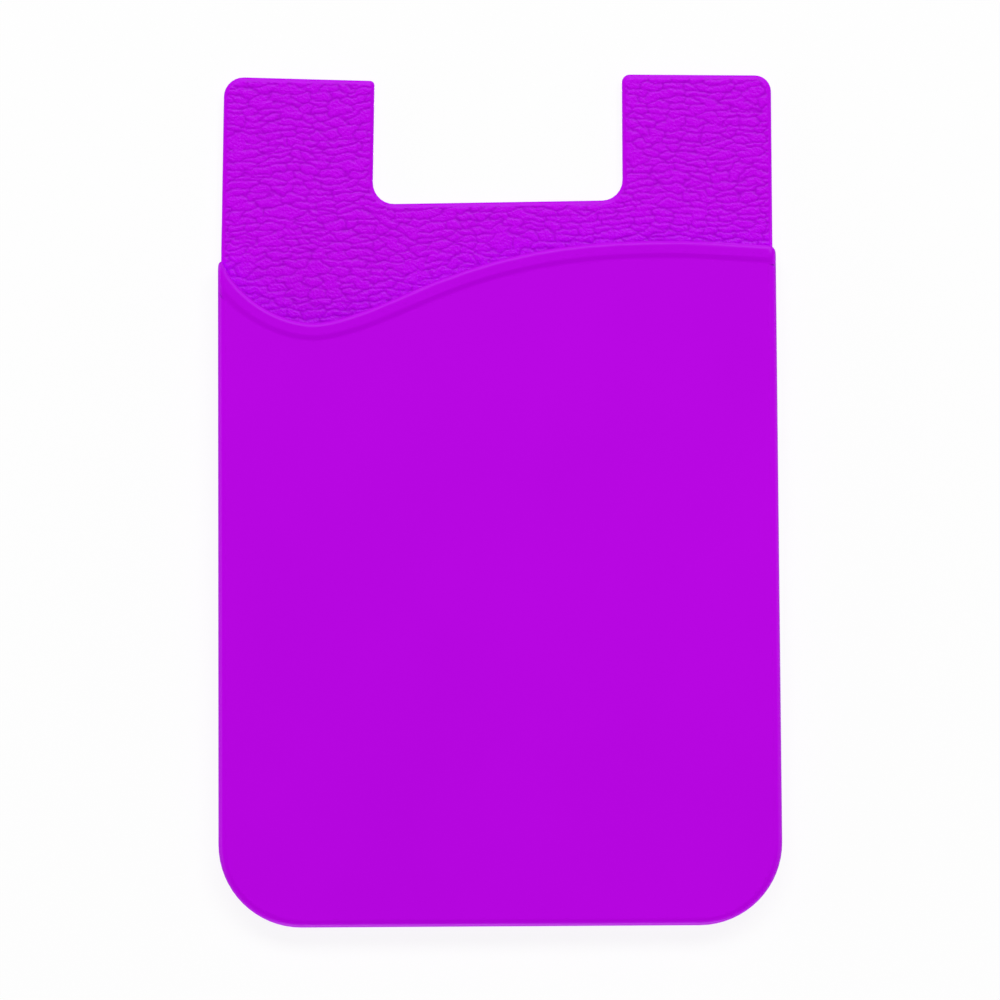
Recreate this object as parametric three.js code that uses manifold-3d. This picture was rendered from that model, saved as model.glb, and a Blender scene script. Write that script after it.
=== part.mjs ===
import * as THREE from 'three';
import { mergeVertices } from 'three/addons/utils/BufferGeometryUtils.js';
import Module from 'manifold-3d';

// A stick-on card pocket for the back of a phone: one silicone moulding, the adhesive sheet on its
// back and the liner that covers the adhesive. It lies on its back. Millimetres and degrees.
// X runs across the pocket, Y from its closed bottom to its two tabs, Z out of its front. The
// origin is the middle of its footprint, on the surface that it lies on.

// The cards that the pocket takes, and the room around them
const cardWidth = 53.98;
const cardThickness = 0.76;
const cardCount = 2;
const cardSideClearance = 0.31;
const cardFaceClearance = 0.1;

// Walls of the moulding
const backWall = 1.0;
const frontWall = 0.9;
const bottomWall = 1.0;
const sideWallAtBottom = 1.34;
const sideWallAtLip = 1.0;

// Outline
const length = 86.4;
const bottomCornerRadius = 8.4;
const plateStep = 0.3; // the back plate is this much narrower than the pocket, on each side
const notchWidth = 25.4;
const notchDepth = 12.9;
const notchCentre = 0.1;
const notchFloorRise = 0.6; // the notch's floor climbs to the right by this angle
const leftRootRadius = 2.15;
const rightRootRadius = 2.1;
const shoulderRadius = 60;

// The two tabs beside the notch. A soft tab leans in, and its top edge falls to the right.
const leftTabLean = 1.3;
const leftTabFall = 1.9;
const rightTabLean = 0.2;
const rightTabFall = 0.7;
const leftTabOuterRadius = 2;
const rightTabOuterRadius = 1.65;
const leftTabInnerRadius = 0.45;
const rightTabInnerRadius = 0.8;

// The lip: a wave from its left end down to a trough, up through a slope to a crest and on to its
// right end. Heights are above the bottom edge, and a reach is how far a bend pulls the curve.
const lipLeftHeight = 67.6;
const lipLeftSlope = 68;
const lipLeftReach = 3.9;
const troughX = -18.5;
const troughHeight = 61.32;
const troughReach = 3.6;
const troughExitReach = 2.6;
const slopeX = -9.2;
const slopeHeight = 64.25;
const slopeAngle = 23.9;
const slopeEntryReach = 1.3;
const slopeReach = 10.4;
const crestX = 17;
const crestHeight = 69.46;
const crestReach = 9.3;
const crestExitReach = 3.8;
const lipRightHeight = 68.92;
const lipRightSlope = 4;
const lipRightReach = 3.8;
const lipEndInset = 0.4; // how far the wave stops short of the left side
const lipCornerRadius = 1.0; // the rounding that takes it to the right side
const lipTipRun = 0.9; // the length of the left side that the rounded tip takes

// The raised rim along the lip: a rounded brow at the edge, a flat crown, and a foot that runs
// out gently on the panel
const rimRise = 0.14;
const rimBrowDrop = 0.3;
const rimBrowRun = 0.5;
const rimCrown = 0.65;
const rimFoot = 0.75;
const rimRoot = 0.4; // how far the rim's solid reaches down into the panel

// Rounded front edges
const plateEdge = 0.25;
const panelEdge = 0.8;

// The adhesive sheet and its liner
const adhesiveThickness = 0.25;
const adhesiveMargin = 2.2; // in from the back plate's edge
const linerThickness = 0.1;
const linerMargin = 1.4;

// How finely round stretches are drawn
const arcStep = 6;
const smallArcStep = 15;
const smallRadius = 3;
const waveSteps = 18;
const lipEndSteps = 6;
const edgeSteps = 4;
const footSteps = 6;
const tightest = 0.05; // no corner is rounded more tightly than this
const weld = 1e-5; // points closer than this are one point
const cutMargin = 3; // how far a cutting solid runs past what it cuts

// Levels
const adhesiveLevel = linerThickness;
const backLevel = adhesiveLevel + adhesiveThickness;
const plateLevel = backLevel + backWall;
const slotTopLevel = plateLevel + cardCount * cardThickness + cardFaceClearance;
const panelLevel = slotTopLevel + frontWall;
const rimLevel = panelLevel + rimRise;

// Places across and along
const bottomY = -length / 2;
const topY = length / 2;
const slotHalf = cardWidth / 2 + cardSideClearance;
const halfAtBottom = slotHalf + sideWallAtBottom;
const halfAtLip = slotHalf + sideWallAtLip;
const lipLevelY = bottomY + (lipLeftHeight + lipRightHeight) / 2;
const pastLipY = bottomY + Math.max(crestHeight, lipLeftHeight, lipRightHeight) + cutMargin;

const wasm = await Module();
wasm.setup();

function radians(degrees) {
  return THREE.MathUtils.degToRad(degrees);
}

function heading(angle) {
  return new THREE.Vector2(Math.cos(radians(angle)), Math.sin(radians(angle)));
}

function step(point, angle, distance) {
  return heading(angle).multiplyScalar(distance).add(point);
}

// Half the pocket's width at a height on its tapered sides
function pocketHalf(y) {
  const share = (y - bottomY) / (lipLevelY - bottomY);
  return THREE.MathUtils.lerp(halfAtBottom, halfAtLip, share);
}

// Where a line through a at one angle meets a line through b at another
function crossing(a, angleA, b, angleB) {
  const alongA = heading(angleA);
  const alongB = heading(angleB);
  const between = b.clone().sub(a);
  return step(a, angleA, between.cross(alongB) / alongA.cross(alongB));
}

function corner(point, radius) {
  return { point, radius };
}

// A closed outline through corners given anticlockwise, moved in by an inset, with each corner
// rounded to its radius. Moving in tightens the outer corners and widens the inner ones.
function roundedOutline(corners, inset = 0) {
  const count = corners.length;
  const edges = corners.map(({ point }, i) => {
    const next = corners[(i + 1) % count].point;
    const angle = THREE.MathUtils.radToDeg(Math.atan2(next.y - point.y, next.x - point.x));
    return { start: step(point, angle + 90, inset), angle };
  });
  return corners.flatMap(({ radius }, i) => {
    const before = edges[(i + count - 1) % count];
    const after = edges[i];
    const turn = THREE.MathUtils.euclideanModulo(after.angle - before.angle + 180, 360) - 180;
    const side = Math.sign(turn);
    const bend = Math.max(radius - side * inset, tightest);
    const vertex = crossing(before.start, before.angle, after.start, after.angle);
    const run = bend * Math.tan(radians(Math.abs(turn) / 2));
    const start = step(vertex, before.angle + 180, run);
    const centre = step(start, before.angle + side * 90, bend);
    const steps = Math.ceil(Math.abs(turn) / (bend > smallRadius ? arcStep : smallArcStep));
    return Array.from({ length: steps + 1 }, (_, k) =>
      step(centre, before.angle - side * 90 + (turn * k) / steps, bend));
  });
}

// A closed mesh as a solid that can be joined and cut
function solid(geometry) {
  const bare = geometry.clone();
  bare.deleteAttribute('normal');
  bare.deleteAttribute('uv');
  const merged = mergeVertices(bare, weld);
  return new wasm.Manifold(new wasm.Mesh({
    numProp: 3,
    vertProperties: new Float32Array(merged.attributes.position.array),
    triVerts: new Uint32Array(merged.index.array),
  }));
}

function meshOf(manifold, name, material) {
  const mesh = manifold.getMesh();
  const geometry = new THREE.BufferGeometry();
  geometry.setAttribute('position', new THREE.BufferAttribute(mesh.vertProperties, 3));
  geometry.setIndex(new THREE.BufferAttribute(mesh.triVerts, 1));
  geometry.computeVertexNormals();
  const result = new THREE.Mesh(geometry, material);
  result.name = name;
  return result;
}

// A plate with square edges
function plate(points, low, high) {
  const shape = new THREE.Shape(points);
  const geometry = new THREE.ExtrudeGeometry(shape, { depth: high - low, bevelEnabled: false });
  geometry.translate(0, 0, low);
  return solid(geometry);
}

// A plate whose front edge is rounded: its lower, rounded end is trimmed off flat
function roundedPlate(points, low, high, edge) {
  const geometry = new THREE.ExtrudeGeometry(new THREE.Shape(points), {
    depth: high - low,
    bevelSize: edge,
    bevelOffset: -edge,
    bevelThickness: edge,
    bevelSegments: edgeSteps,
  });
  geometry.translate(0, 0, low - edge);
  const below = new THREE.BoxGeometry(2 * length, 2 * length, length);
  below.translate(0, 0, low - length / 2);
  return solid(geometry).subtract(solid(below));
}

// The back plate's corners, from the bottom left: two round bottom corners, a bend in each side
// where the tabs begin, and the tabs with the notch between them
function plateCorners() {
  const bottomHalf = halfAtBottom - plateStep;
  const shoulderHalf = halfAtLip - plateStep;
  const rightShoulder = new THREE.Vector2(shoulderHalf, lipLevelY);
  const leftShoulder = new THREE.Vector2(-shoulderHalf, lipLevelY);
  const rightTop = new THREE.Vector2(notchCentre + notchWidth / 2, topY);
  const leftTop = crossing(leftShoulder, 90 - leftTabLean, new THREE.Vector2(0, topY), 0);
  const floor = new THREE.Vector2(notchCentre, topY - notchDepth);
  const rightRoot = step(floor, notchFloorRise, notchWidth / 2);
  const leftRoot = step(floor, notchFloorRise, -notchWidth / 2);
  return [
    corner(new THREE.Vector2(-bottomHalf, bottomY + plateStep), bottomCornerRadius - plateStep),
    corner(new THREE.Vector2(bottomHalf, bottomY + plateStep), bottomCornerRadius - plateStep),
    corner(rightShoulder, shoulderRadius),
    corner(crossing(rightShoulder, 90 + rightTabLean, rightTop, -rightTabFall),
      rightTabOuterRadius),
    corner(rightTop, rightTabInnerRadius),
    corner(rightRoot, rightRootRadius),
    corner(leftRoot, leftRootRadius),
    corner(crossing(leftRoot, 90 - leftTabLean, leftTop, -leftTabFall), leftTabInnerRadius),
    corner(leftTop, leftTabOuterRadius),
    corner(leftShoulder, shoulderRadius),
  ];
}

// The wave, from its left end to its right end
function lipWave() {
  const leftY = bottomY + lipLeftHeight;
  const rightY = bottomY + lipRightHeight;
  const left = new THREE.Vector2(-pocketHalf(leftY) + lipEndInset, leftY);
  const trough = new THREE.Vector2(troughX, bottomY + troughHeight);
  const slope = new THREE.Vector2(slopeX, bottomY + slopeHeight);
  const crest = new THREE.Vector2(crestX, bottomY + crestHeight);
  const right = new THREE.Vector2(pocketHalf(rightY) - lipCornerRadius, rightY);
  const wave = new THREE.CurvePath();
  wave.add(new THREE.CubicBezierCurve(
    left, step(left, -lipLeftSlope, lipLeftReach), step(trough, 180, troughReach), trough));
  wave.add(new THREE.CubicBezierCurve(
    trough, step(trough, 0, troughExitReach),
    step(slope, slopeAngle + 180, slopeEntryReach), slope));
  wave.add(new THREE.CubicBezierCurve(
    slope, step(slope, slopeAngle, slopeReach), step(crest, 180, crestReach), crest));
  wave.add(new THREE.CubicBezierCurve(
    crest, step(crest, 0, crestExitReach),
    step(right, 180 - lipRightSlope, lipRightReach), right));
  return wave.getPoints(waveSteps);
}

// The rounding that takes an end of the wave to the pocket's side, from the wave outwards
function lipEnd(end, side, run) {
  const y = end.y - run;
  const onSide = new THREE.Vector2(side * pocketHalf(y), y);
  const bend = new THREE.Vector2(onSide.x, end.y);
  const curve = new THREE.QuadraticBezierCurve(end, bend, onSide);
  return curve.getPoints(lipEndSteps).slice(1);
}

// Everything below the lip, wider than the pocket at each side and lower than its bottom
function belowLip(wave) {
  const leftEnd = lipEnd(wave[0], -1, lipTipRun);
  const rightEnd = lipEnd(wave.at(-1), 1, lipCornerRadius);
  const wide = halfAtBottom + cutMargin;
  const low = bottomY - cutMargin;
  const points = [
    new THREE.Vector2(-wide, low),
    new THREE.Vector2(wide, low),
    new THREE.Vector2(wide, rightEnd.at(-1).y),
    ...rightEnd.toReversed(),
    ...wave.toReversed(),
    ...leftEnd,
    new THREE.Vector2(-wide, leftEnd.at(-1).y),
  ];
  return plate(points, backLevel - cutMargin, rimLevel + cutMargin);
}

// The rim's section: how far each of its points lies from the lip, and its height
function rimSection() {
  const brow = Array.from({ length: edgeSteps + 1 }, (_, k) => {
    const turn = radians((90 * k) / edgeSteps);
    const away = rimBrowRun * (1 - Math.cos(turn));
    return { away, height: rimLevel - rimBrowDrop * (1 - Math.sin(turn)) };
  });
  const foot = Array.from({ length: footSteps + 1 }, (_, k) => {
    const share = k / footSteps;
    const fall = (1 - Math.cos(Math.PI * share)) / 2;
    const away = rimBrowRun + rimCrown + rimFoot * share;
    return { away, height: rimLevel - rimRise * fall };
  });
  const root = panelLevel - rimRoot;
  return [{ away: 0, height: root }, ...brow, ...foot, { ...foot.at(-1), height: root }];
}

// The rim: its section carried along the wave, which runs on past both sides
function rimBand(wave) {
  const path = [
    step(wave[0], 180 - lipLeftSlope, cutMargin),
    ...wave,
    step(wave.at(-1), -lipRightSlope, cutMargin),
  ];
  const section = rimSection();
  const places = path.flatMap((point, i) => {
    const before = path[Math.max(i - 1, 0)];
    const after = path[Math.min(i + 1, path.length - 1)];
    const angle = THREE.MathUtils.radToDeg(Math.atan2(after.y - before.y, after.x - before.x));
    return section.flatMap(({ away, height }) => {
      const { x, y } = step(point, angle - 90, away);
      return [x, y, height];
    });
  });
  const count = section.length;
  const faces = [];
  for (let start = 0; start < (path.length - 1) * count; start += count) {
    for (let j = 0; j < count; j += 1) {
      const near = start + j;
      const next = start + ((j + 1) % count);
      faces.push(near, next, next + count, near, next + count, near + count);
    }
  }
  const last = (path.length - 1) * count;
  for (let j = 1; j + 1 < count; j += 1) {
    faces.push(0, j + 1, j, last, last + j, last + j + 1);
  }
  const geometry = new THREE.BufferGeometry();
  geometry.setAttribute('position', new THREE.Float32BufferAttribute(places, 3));
  geometry.setIndex(faces);
  return solid(geometry);
}

// The pocket's outline with its sides run on past the lip, to a given height
function pocketBlank(high) {
  const pastLipHalf = pocketHalf(pastLipY);
  const points = roundedOutline([
    corner(new THREE.Vector2(-halfAtBottom, bottomY), bottomCornerRadius),
    corner(new THREE.Vector2(halfAtBottom, bottomY), bottomCornerRadius),
    corner(new THREE.Vector2(pastLipHalf, pastLipY), cutMargin / 2),
    corner(new THREE.Vector2(-pastLipHalf, pastLipY), cutMargin / 2),
  ]);
  return roundedPlate(points, backLevel, high, panelEdge);
}

// The space for the card, open above the lip
function cardSlot() {
  const radius = bottomCornerRadius - sideWallAtBottom;
  const points = roundedOutline([
    corner(new THREE.Vector2(-slotHalf, bottomY + bottomWall), radius),
    corner(new THREE.Vector2(slotHalf, bottomY + bottomWall), radius),
    corner(new THREE.Vector2(slotHalf, pastLipY), tightest),
    corner(new THREE.Vector2(-slotHalf, pastLipY), tightest),
  ]);
  return plate(points, plateLevel, slotTopLevel);
}

// Back plate, side and bottom walls, front panel and rim, all one moulding
function siliconeBody() {
  const wave = lipWave();
  const under = belowLip(wave);
  const backPlate = roundedPlate(roundedOutline(plateCorners()), backLevel, plateLevel, plateEdge);
  const panel = pocketBlank(panelLevel).intersect(under);
  const rim = rimBand(wave).intersect(pocketBlank(rimLevel)).intersect(under);
  const moulding = backPlate.add(panel).add(rim).subtract(cardSlot());
  const silicone = new THREE.MeshStandardMaterial({ color: 0xb700e1, roughness: 0.55, metalness: 0 });
  return meshOf(moulding, 'silicone_body', silicone);
}

function adhesiveSheet() {
  const points = roundedOutline(plateCorners(), adhesiveMargin);
  const adhesive = new THREE.MeshStandardMaterial({ color: 0xe9e4d6, roughness: 0.4, metalness: 0 });
  return meshOf(plate(points, adhesiveLevel, backLevel), 'adhesive_sheet', adhesive);
}

function releaseLiner() {
  const points = roundedOutline(plateCorners(), linerMargin);
  const paper = new THREE.MeshStandardMaterial({ color: 0xf4f1ea, roughness: 0.5, metalness: 0 });
  return meshOf(plate(points, 0, adhesiveLevel), 'release_liner', paper);
}

const cardHolder = new THREE.Group();
cardHolder.add(siliconeBody(), adhesiveSheet(), releaseLiner());

export default cardHolder;
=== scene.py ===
import math

import bpy
import numpy as np
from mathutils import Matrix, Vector, kdtree, noise


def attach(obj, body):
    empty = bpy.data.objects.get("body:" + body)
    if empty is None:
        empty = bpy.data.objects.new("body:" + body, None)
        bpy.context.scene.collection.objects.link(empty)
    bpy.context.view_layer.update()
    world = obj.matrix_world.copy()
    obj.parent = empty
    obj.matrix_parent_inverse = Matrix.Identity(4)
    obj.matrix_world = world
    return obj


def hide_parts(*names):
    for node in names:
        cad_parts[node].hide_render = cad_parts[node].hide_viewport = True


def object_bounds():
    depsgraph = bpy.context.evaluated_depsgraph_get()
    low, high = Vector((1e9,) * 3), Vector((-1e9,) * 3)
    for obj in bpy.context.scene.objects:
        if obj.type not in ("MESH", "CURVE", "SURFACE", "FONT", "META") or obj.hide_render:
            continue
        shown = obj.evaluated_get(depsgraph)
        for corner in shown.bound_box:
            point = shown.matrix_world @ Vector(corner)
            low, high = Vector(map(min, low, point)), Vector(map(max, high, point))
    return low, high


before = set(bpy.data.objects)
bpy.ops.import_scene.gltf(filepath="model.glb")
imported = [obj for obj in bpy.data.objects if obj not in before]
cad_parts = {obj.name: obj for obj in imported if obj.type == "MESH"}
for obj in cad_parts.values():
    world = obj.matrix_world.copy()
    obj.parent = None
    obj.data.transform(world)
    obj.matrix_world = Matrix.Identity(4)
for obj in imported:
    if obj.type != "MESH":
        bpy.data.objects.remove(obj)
cad_low, cad_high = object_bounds()
bpy.ops.object.select_all(action="DESELECT")

MM = 0.001
TINY = 0.002 * MM

# Where the photograph was taken from: straight above, turned a little
PHOTO_WIDTH = 101.5 * MM  # what the picture's width takes in, at the level of the outline
OUTLINE_LEVEL = 2.1 * MM  # halfway between the plate's edge and the panel's
VIEW_CENTRE = (0.174 * MM, 0.056 * MM)
VIEW_TURN = -0.34  # degrees
VIEW_HEIGHT = 1500 * MM

# The leather grain: pebbles with narrow creases between them
PEBBLE_WIDE = 2.0  # across, from one pebble to the next, in mm
PEBBLE_TALL = 0.7  # along, in mm
SIDE_SHIFT = 0.48  # how far a pebble strays along its row, in shares of its width
ROW_SHIFT = 0.3  # how far it strays out of its row, in shares of its height
LONG_DRIFT = 0.8  # how far rows of pebbles wander, in mm
LONG_WAVE = (5.0, 5.0)  # over these lengths across and along, in mm
SHORT_DRIFT = 0.28  # how far a pebble's edge wavers, in mm
SHORT_WAVE = (1.0, 0.8)
FINE_DRIFT = 0.13  # how far its ragged line strays, in mm
FINE_WAVE = (0.42, 0.36)
JOINED = 0.12  # the share of neighbours with only a shallow crease between them
SHALLOW = 0.12  # how far from its middle such a crease already ends, in mm
CORNER = 0.05  # how round a pebble's corners are, in mm
GRAIN_PITCH = 0.105  # the mesh that carries the grain, in mm
GRAIN_RISE = 0.08  # a pebble's top above its creases, in mm
UNEVEN = 0.14  # how much that height varies from pebble to pebble, as a share
SHOULDER = 0.3  # the rounded width at a pebble's edge, in mm
CREASE = 0.16  # the width of the painted shade beside a crease, in mm
BORDER = 0.14  # the grain dies out over this width at the plate's edge, in mm
SUNK = 0.03  # how far the grain's rim is let into the plate, in mm
UNDER_LIP = 1.0  # how far the grain runs on under the lip, in mm
SPARE = 0.3  # how much farther its skin runs, sunk into the plate, in mm
SLAB = 0.25  # thickness of the grained skin before it joins the plate, in mm
SEED = 7


def only(piece):
    """Selects one piece alone and makes it the active one."""
    bpy.ops.object.select_all(action="DESELECT")
    piece.select_set(True)
    bpy.context.view_layer.objects.active = piece


def merged_copy(node_name, piece_name):
    """A CAD node's solid as a new piece, with its loose triangles joined into flat faces."""
    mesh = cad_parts[node_name].data.copy()
    mesh.materials.clear()
    piece = bpy.data.objects.new(piece_name, mesh)
    bpy.context.collection.objects.link(piece)
    only(piece)
    bpy.ops.object.mode_set(mode="EDIT")
    bpy.ops.mesh.select_all(action="SELECT")
    bpy.ops.mesh.remove_doubles(threshold=TINY / 10)
    bpy.ops.mesh.dissolve_limited(angle_limit=math.radians(0.2))
    bpy.ops.object.mode_set(mode="OBJECT")
    return piece


def keep_faces(piece, keep):
    """Deletes the faces that a list of booleans leaves out."""
    only(piece)
    bpy.ops.object.mode_set(mode="EDIT")
    bpy.ops.mesh.select_mode(type="FACE")
    bpy.ops.mesh.select_all(action="DESELECT")
    bpy.ops.object.mode_set(mode="OBJECT")
    piece.data.polygons.foreach_set("select", ~np.asarray(keep))
    bpy.ops.object.mode_set(mode="EDIT")
    bpy.ops.mesh.delete(type="FACE")
    bpy.ops.object.mode_set(mode="OBJECT")


def apply_modifier(piece, kind, **settings):
    only(piece)
    modifier = piece.modifiers.new(kind.title(), kind)
    for name, value in settings.items():
        setattr(modifier, name, value)
    bpy.ops.object.modifier_apply(modifier=modifier.name)


def points_of(piece):
    flat = np.empty(len(piece.data.vertices) * 3)
    piece.data.vertices.foreach_get("co", flat)
    return flat.reshape(-1, 3)


def plate_level(body):
    """The height of the back plate's front face, which the tabs show."""
    places = points_of(body)
    tabs = places[:, 1] > cad_high.y - 5 * MM
    return places[tabs, 2].max()


def lip_line(body, level):
    """The lip's edge as x and y, from left to right, off the wall that faces the notch."""
    edge = set()
    for face in body.data.polygons:
        faces_notch = face.normal.y > 0.2 and abs(face.normal.z) < 0.1 and face.center.y > 0
        if faces_notch and face.center.z > level + MM:
            for corner in face.vertices:
                place = body.data.vertices[corner].co
                edge.add((round(place.x, 6), round(place.y, 6)))
    return np.array(sorted(edge)).T


def edge_distance(points, region):
    """How far each point lies from the outline of a flat region."""
    used = {}
    for face in region.data.polygons:
        for key in face.edge_keys:
            used[key] = used.get(key, 0) + 1
    places = points_of(region)[:, :2]
    ends = np.array([places[list(key)] for key, times in used.items() if times == 1])
    nearest = np.full(len(points), np.inf)
    for start, end in ends:
        along = end - start
        share = np.clip((points - start) @ along / (along @ along), 0, 1)
        gap = points - start - share[:, None] * along
        nearest = np.minimum(nearest, np.hypot(gap[:, 0], gap[:, 1]))
    return nearest


def smooth(low, high, value):
    share = np.clip((value - low) / (high - low), 0, 1)
    return share * share * (3 - 2 * share)


def pebble_centres(low, high, rng):
    """Staggered rows of pebbles, each strayed from its place, in units of a pebble."""
    rows = np.arange(low[1] / PEBBLE_TALL - 3, high[1] / PEBBLE_TALL + 3)
    columns = np.arange(low[0] / PEBBLE_WIDE - 3, high[0] / PEBBLE_WIDE + 3)
    centres = np.array([(x + 0.5 * (i % 2), y) for i, y in enumerate(rows) for x in columns])
    return centres + rng.uniform(-1, 1, centres.shape) * (SIDE_SHIFT, ROW_SHIFT)


def drift(points, wave, reach):
    """A smooth, random shift of each point by up to about a reach, in mm."""
    moves = [noise.noise_vector(Vector((x / wave[0], y / wave[1], 0)))[:2] for x, y in points]
    return np.array(moves) * reach


def leather_grain(points):
    """For points in mm: each one's relief from 0 in a crease to 1 on a pebble, its share of a
    crease's shade, its pebble's number and the move that puts it in a crease beside it."""
    rng = np.random.default_rng(SEED)
    noise.seed_set(SEED)
    size = np.array([PEBBLE_WIDE, PEBBLE_TALL])
    centres = pebble_centres(points.min(0), points.max(0), rng)
    tree = kdtree.KDTree(len(centres))
    for i, centre in enumerate(centres):
        tree.insert((*centre, 0), i)
    tree.balance()
    places = points + drift(points, LONG_WAVE, LONG_DRIFT)
    places = places + drift(points, SHORT_WAVE, SHORT_DRIFT)
    places = (places + drift(points, FINE_WAVE, FINE_DRIFT)) / size
    near = np.array([[hit[1] for hit in tree.find_n((*place, 0), 7)] for place in places])
    own = centres[near[:, 0]]
    others = centres[near[:, 1:]]
    between = others - own[:, None]
    spans = np.linalg.norm(between, axis=2)
    from_own = ((places - own) ** 2).sum(1)
    from_others = ((places[:, None] - others) ** 2).sum(2)
    slope = between / spans[:, :, None] / size
    steepness = np.linalg.norm(slope, axis=2)
    gaps = (from_others - from_own[:, None]) / (2 * spans) / steepness
    first, second = near[:, :1] + 1.0, near[:, 1:] + 1.0
    pair = np.mod(np.sin(first * second * 0.37 + (first + second) * 1.7) * 4375.85, 1)
    gaps_seen = gaps + np.where(pair < JOINED, SHALLOW, 0)
    rounded = -CORNER * np.log(np.exp(-gaps_seen / CORNER).sum(1))
    share = np.clip(rounded / SHOULDER, 0, 1)
    relief = np.sqrt(1 - (1 - share) ** 2)
    shade = (1 - np.clip(rounded / CREASE, 0, 1)) ** 1.5
    nearest = gaps.argmin(1)
    every = np.arange(len(points))
    gap = gaps[every, nearest]
    toward = (slope / steepness[:, :, None])[every, nearest]
    move = np.where(gap < GRAIN_PITCH * 0.5, gap, 0)[:, None] * toward
    return relief, shade, near[:, 0], move


def grained_skin(region, level, lip):
    """The leather-grained face as a thin slab, cut to the plate's flat outline."""
    low, high = (Vector(corner) for corner in (region.bound_box[0], region.bound_box[6]))
    low.y = lip[1].min() - 2 * MM
    middle = (low + high) / 2
    wide, tall = high.x - low.x, high.y - low.y
    bpy.ops.mesh.primitive_grid_add(
        x_subdivisions=round(wide / (GRAIN_PITCH * MM)),
        y_subdivisions=round(tall / (GRAIN_PITCH * MM)),
        size=1,
        location=(middle.x, middle.y, level),
    )
    skin = bpy.context.object
    skin.scale = (wide, tall, 1)
    bpy.ops.object.transform_apply(location=True, rotation=True, scale=True)
    middles = np.array([face.center[:2] for face in skin.data.polygons])
    past_lip = middles[:, 1] - np.interp(middles[:, 0], *lip)
    keep_faces(skin, past_lip > -(UNDER_LIP + SPARE) * MM)
    apply_modifier(skin, "SOLIDIFY", thickness=SLAB * MM, offset=-1)

    places = points_of(skin)
    top = places[:, 2] > level - TINY
    flat = places[top, :2]
    relief, shade, pebble, move = leather_grain(flat / MM)
    rng = np.random.default_rng(SEED + 1)
    lift = rng.uniform(-UNEVEN, UNEVEN, pebble.max() + 1)[pebble]
    fade = smooth(0, BORDER * MM, edge_distance(flat, region))
    past_lip = flat[:, 1] - np.interp(flat[:, 0], *lip)
    fade *= smooth(-UNDER_LIP * MM, -0.6 * UNDER_LIP * MM, past_lip)
    rise = GRAIN_RISE * relief * (1 + lift)
    places[top, :2] += move * fade[:, None] * MM
    places[top, 2] += (fade * (rise + SUNK) - SUNK) * MM
    skin.data.vertices.foreach_set("co", places.ravel())
    # crease carries the painted shade in the creases; grain carries the relief, which paints the
    # pebbles' tops lighter as painted highlight and sets their tooth
    for name, shares in (("crease", shade * fade), ("grain", relief * fade)):
        values = np.zeros(len(places))
        values[top] = shares
        skin.data.attributes.new(name, "FLOAT", "POINT").data.foreach_set("value", values)
    skin.data.update()
    return skin


def moulded_pocket():
    """The whole silicone moulding, with real leather grain on the face above the pocket."""
    pocket = merged_copy("silicone_body", "moulded_pocket")
    level = plate_level(pocket)
    lip = lip_line(pocket, level)
    region = merged_copy("silicone_body", "grain_region")
    flat = [
        face.normal.z > 0.99 and abs(face.center.z - level) < TINY
        for face in region.data.polygons
    ]
    keep_faces(region, flat)
    skin = grained_skin(region, level, lip)
    apply_modifier(region, "SOLIDIFY", thickness=2 * MM, offset=0)
    apply_modifier(skin, "BOOLEAN", operation="INTERSECT", solver="MANIFOLD", object=region)
    for name in ("crease", "grain"):
        pocket.data.attributes.new(name, "FLOAT", "POINT")
    apply_modifier(pocket, "BOOLEAN", operation="UNION", solver="MANIFOLD", object=skin)
    for scrap in (region, skin):
        bpy.data.objects.remove(scrap)
    only(pocket)
    bpy.ops.object.shade_smooth_by_angle(angle=math.radians(38))
    apply_modifier(pocket, "WEIGHTED_NORMAL", keep_sharp=True)
    return pocket


def linear(hex_colour):
    """An sRGB hex colour as the linear values that a shader takes, and an alpha of 1."""
    parts = [int(hex_colour[i : i + 2], 16) / 255 for i in (1, 3, 5)]
    return (*(p / 12.92 if p <= 0.04045 else ((p + 0.055) / 1.055) ** 2.4 for p in parts), 1)


def add(tree, kind, inputs=None, **settings):
    """Adds a node with its settings, and its inputs as values or as links."""
    made = tree.nodes.new(kind)
    for name, value in settings.items():
        setattr(made, name, value)
    for name, value in (inputs or {}).items():
        if isinstance(value, bpy.types.NodeSocket):
            tree.links.new(value, made.inputs[name])
        else:
            made.inputs[name].default_value = value
    return made


def new_material(name):
    material = bpy.data.materials.new(name)
    material.use_nodes = True
    material.node_tree.nodes.clear()
    return material


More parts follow.
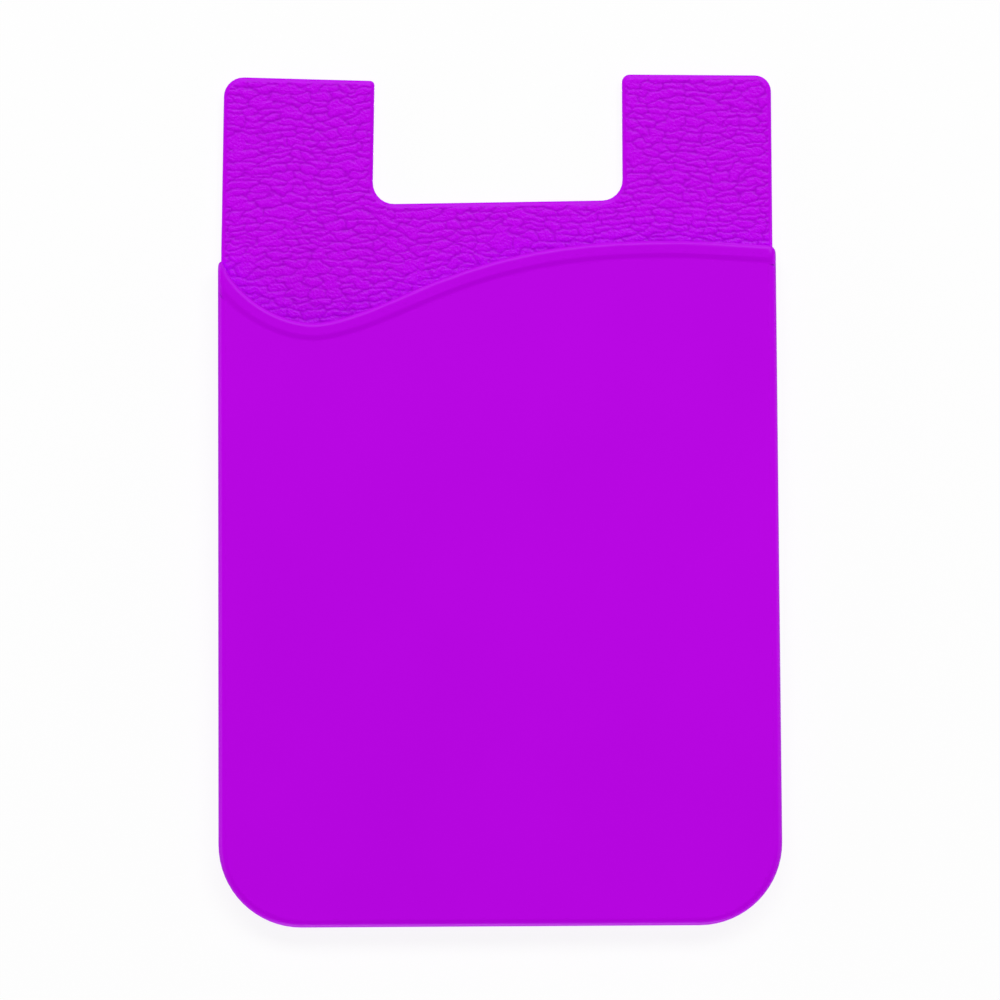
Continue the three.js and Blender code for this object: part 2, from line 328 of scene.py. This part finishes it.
def moulded_silicone():
    """Silicone rubber out of a blasted steel mould: even, saturated and matt. The grain's pebbles
    have a fine tooth that breaks up their reflections; their raised tops are painted a touch
    lighter as painted highlight, and their creases darker as painted shade."""
    material = new_material("moulded_silicone")
    tree = material.node_tree
    place = add(tree, "ShaderNodeTexCoord").outputs["Object"]
    crease = add(tree, "ShaderNodeAttribute", attribute_name="crease").outputs["Fac"]
    grain = add(tree, "ShaderNodeAttribute", attribute_name="grain").outputs["Fac"]
    clouds = add(tree, "ShaderNodeTexNoise", {"Vector": place, "Scale": 60.0, "Detail": 2.0})
    tooth = add(tree, "ShaderNodeTexNoise", {"Vector": place, "Scale": 3600.0, "Detail": 3.0})
    toothed = add(tree, "ShaderNodeMapRange", {"Value": grain, "To Min": 0.02, "To Max": 1.0})
    tint = add(
        tree, "ShaderNodeMix",
        {0: clouds.outputs["Fac"], 6: linear("#B400DE"), 7: linear("#BA00E4")},
        data_type="RGBA",
    )
    # Painted highlight: the pebbles' raised tops are painted a touch lighter, following their
    # relief
    painted_pebble_highlight = add(
        tree, "ShaderNodeMix",
        {0: grain, 6: tint.outputs[2], 7: linear("#BD00E7")},
        data_type="RGBA",
    )
    # Painted shade: the creases between the pebbles are painted darker
    painted_crease_shade = add(
        tree, "ShaderNodeMix",
        {0: crease, 6: painted_pebble_highlight.outputs[2], 7: linear("#A800D0")},
        data_type="RGBA",
    )
    bump = add(
        tree, "ShaderNodeBump",
        {"Strength": toothed.outputs[0], "Distance": 0.00009, "Height": tooth.outputs["Fac"]},
    )
    surface = add(
        tree, "ShaderNodeBsdfPrincipled",
        {
            "Base Color": painted_crease_shade.outputs[2],
            "Roughness": 0.34,
            "IOR": 1.41,
            "Specular IOR Level": 0.07,
            "Normal": bump.outputs["Normal"],
        },
    )
    add(tree, "ShaderNodeOutputMaterial", {"Surface": surface.outputs["BSDF"]})
    return material


def acrylic_adhesive():
    """Acrylic pressure-sensitive adhesive on a thin carrier film: pale amber, a little cloudy,
    with a soft gloss."""
    material = new_material("acrylic_adhesive")
    tree = material.node_tree
    place = add(tree, "ShaderNodeTexCoord").outputs["Object"]
    cloud = add(tree, "ShaderNodeTexNoise", {"Vector": place, "Scale": 400.0, "Detail": 3.0})
    tint = add(
        tree, "ShaderNodeMix",
        {0: cloud.outputs["Fac"], 6: linear("#E4DDCA"), 7: linear("#EFEADC")},
        data_type="RGBA",
    )
    bump = add(
        tree, "ShaderNodeBump",
        {"Strength": 0.2, "Distance": 0.00003, "Height": cloud.outputs["Fac"]},
    )
    surface = add(
        tree, "ShaderNodeBsdfPrincipled",
        {
            "Base Color": tint.outputs[2],
            "Roughness": 0.3,
            "IOR": 1.47,
            "Normal": bump.outputs["Normal"],
        },
    )
    add(tree, "ShaderNodeOutputMaterial", {"Surface": surface.outputs["BSDF"]})
    return material


def glassine_liner():
    """Calendered glassine release paper: smooth off-white with faint fibre clouds and the even
    sheen of its silicone coat."""
    material = new_material("glassine_liner")
    tree = material.node_tree
    place = add(tree, "ShaderNodeTexCoord").outputs["Object"]
    stretched = add(tree, "ShaderNodeMapping", {"Vector": place, "Scale": (1.0, 0.35, 1.0)})
    cloud = add(
        tree, "ShaderNodeTexNoise",
        {"Vector": stretched.outputs["Vector"], "Scale": 900.0, "Detail": 5.0},
    )
    fibre = add(
        tree, "ShaderNodeTexNoise",
        {"Vector": stretched.outputs["Vector"], "Scale": 5000.0, "Detail": 3.0},
    )
    tint = add(
        tree, "ShaderNodeMix",
        {0: cloud.outputs["Fac"], 6: linear("#EBE6DA"), 7: linear("#F6F3EC")},
        data_type="RGBA",
    )
    bump = add(
        tree, "ShaderNodeBump",
        {"Strength": 0.3, "Distance": 0.00002, "Height": fibre.outputs["Fac"]},
    )
    surface = add(
        tree, "ShaderNodeBsdfPrincipled",
        {
            "Base Color": tint.outputs[2],
            "Roughness": 0.42,
            "IOR": 1.5,
            "Normal": bump.outputs["Normal"],
        },
    )
    add(tree, "ShaderNodeOutputMaterial", {"Surface": surface.outputs["BSDF"]})
    return material


def dress(piece, material):
    piece.data.materials.clear()
    piece.data.materials.append(material)


def dress_node(node_name, material):
    """Gives a CAD node a better material, and leaves its mesh as it is."""
    for material_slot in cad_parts[node_name].material_slots:
        material_slot.material = material


def white_floor():
    """A white table: almost pure white to the camera, with a faint shadow. It is clear from
    below and to the lamps under it, so the holder's back can be looked at too."""
    bpy.ops.mesh.primitive_plane_add(size=4, location=(0, 0, -0.02 * MM))
    floor = bpy.context.object
    floor.name = "floor"
    material = new_material("white_table")
    tree = material.node_tree
    path = add(tree, "ShaderNodeLightPath")
    paper = add(tree, "ShaderNodeBsdfDiffuse", {"Color": linear("#F2F2F2")})
    glow = add(tree, "ShaderNodeEmission", {"Color": (1, 1, 1, 1), "Strength": 1.0})
    seen = add(tree, "ShaderNodeMath", {0: path.outputs["Is Camera Ray"], 1: 0.9},
               operation="MULTIPLY")
    mixed = add(tree, "ShaderNodeMixShader",
                {0: seen.outputs[0], 1: paper.outputs[0], 2: glow.outputs[0]})
    clear = add(tree, "ShaderNodeBsdfTransparent")
    below = add(tree, "ShaderNodeNewGeometry").outputs["Backfacing"]
    close = add(tree, "ShaderNodeMath", {0: path.outputs["Ray Length"], 1: 0.5 * MM},
                operation="LESS_THAN")
    under = add(tree, "ShaderNodeMath", {0: close.outputs[0], 1: path.outputs["Is Shadow Ray"]},
                operation="MAXIMUM")
    hidden = add(tree, "ShaderNodeMath", {0: below, 1: under.outputs[0]},
                 operation="MAXIMUM")
    shown = add(tree, "ShaderNodeMixShader",
                {0: hidden.outputs[0], 1: mixed.outputs[0], 2: clear.outputs[0]})
    add(tree, "ShaderNodeOutputMaterial", {"Surface": shown.outputs[0]})
    dress(floor, material)


def soft_lamp(name, place, wide, tall, power):
    """A soft box that faces the object."""
    bpy.ops.object.light_add(type="AREA", location=place)
    lamp = bpy.context.object
    lamp.name = name
    lamp.data.shape = "RECTANGLE"
    lamp.data.size = wide
    lamp.data.size_y = tall
    lamp.data.energy = power
    lamp.rotation_euler = (-Vector(place)).to_track_quat("-Z", "Y").to_euler()


def studio_light():
    """Soft light from above the tabs and weak light from both sides. The lamps under the table
    give the bottom edge the table's glow, and light the back."""
    soft_lamp("top_lamp", (0.12, 0.75, 1.2), 1.4, 0.45, 20.2)
    soft_lamp("left_lamp", (-0.8, 0.0, 0.15), 0.5, 0.25, 1.8)
    soft_lamp("right_lamp", (0.8, 0.0, 0.15), 0.5, 0.25, 1.0)
    soft_lamp("bottom_lamp", (0.0, -0.8, -0.15), 0.5, 0.25, 5.0)
    soft_lamp("under_lamp", (0.0, -0.1, -0.9), 0.4, 0.4, 5.5)
    world = bpy.data.worlds.new("studio")
    world.use_nodes = True
    tree = world.node_tree
    tree.nodes.clear()
    room = add(tree, "ShaderNodeBackground", {"Color": (1, 1, 1, 1), "Strength": 0.2})
    white = add(tree, "ShaderNodeBackground", {"Color": (1, 1, 1, 1), "Strength": 1.0})
    path = add(tree, "ShaderNodeLightPath")
    seen = add(tree, "ShaderNodeMixShader",
               {0: path.outputs["Is Camera Ray"], 1: room.outputs[0], 2: white.outputs[0]})
    add(tree, "ShaderNodeOutputWorld", {"Surface": seen.outputs[0]})
    bpy.context.scene.world = world


def photo_camera():
    """Straight above, at a lens that takes in the photograph's width at the outline's level."""
    bpy.ops.object.camera_add(
        location=(*VIEW_CENTRE, VIEW_HEIGHT), rotation=(0, 0, math.radians(VIEW_TURN))
    )
    camera = bpy.context.object
    camera.name = "photo_camera"
    camera.data.lens = camera.data.sensor_width * (VIEW_HEIGHT - OUTLINE_LEVEL) / PHOTO_WIDTH
    camera.data.clip_start = 0.01
    bpy.context.scene.camera = camera


photo_camera()
white_floor()
studio_light()

pocket = moulded_pocket()
dress(pocket, moulded_silicone())
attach(pocket, "root")
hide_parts("silicone_body")
dress_node("adhesive_sheet", acrylic_adhesive())
dress_node("release_liner", glassine_liner())

bpy.context.scene.view_settings.view_transform = "Standard"
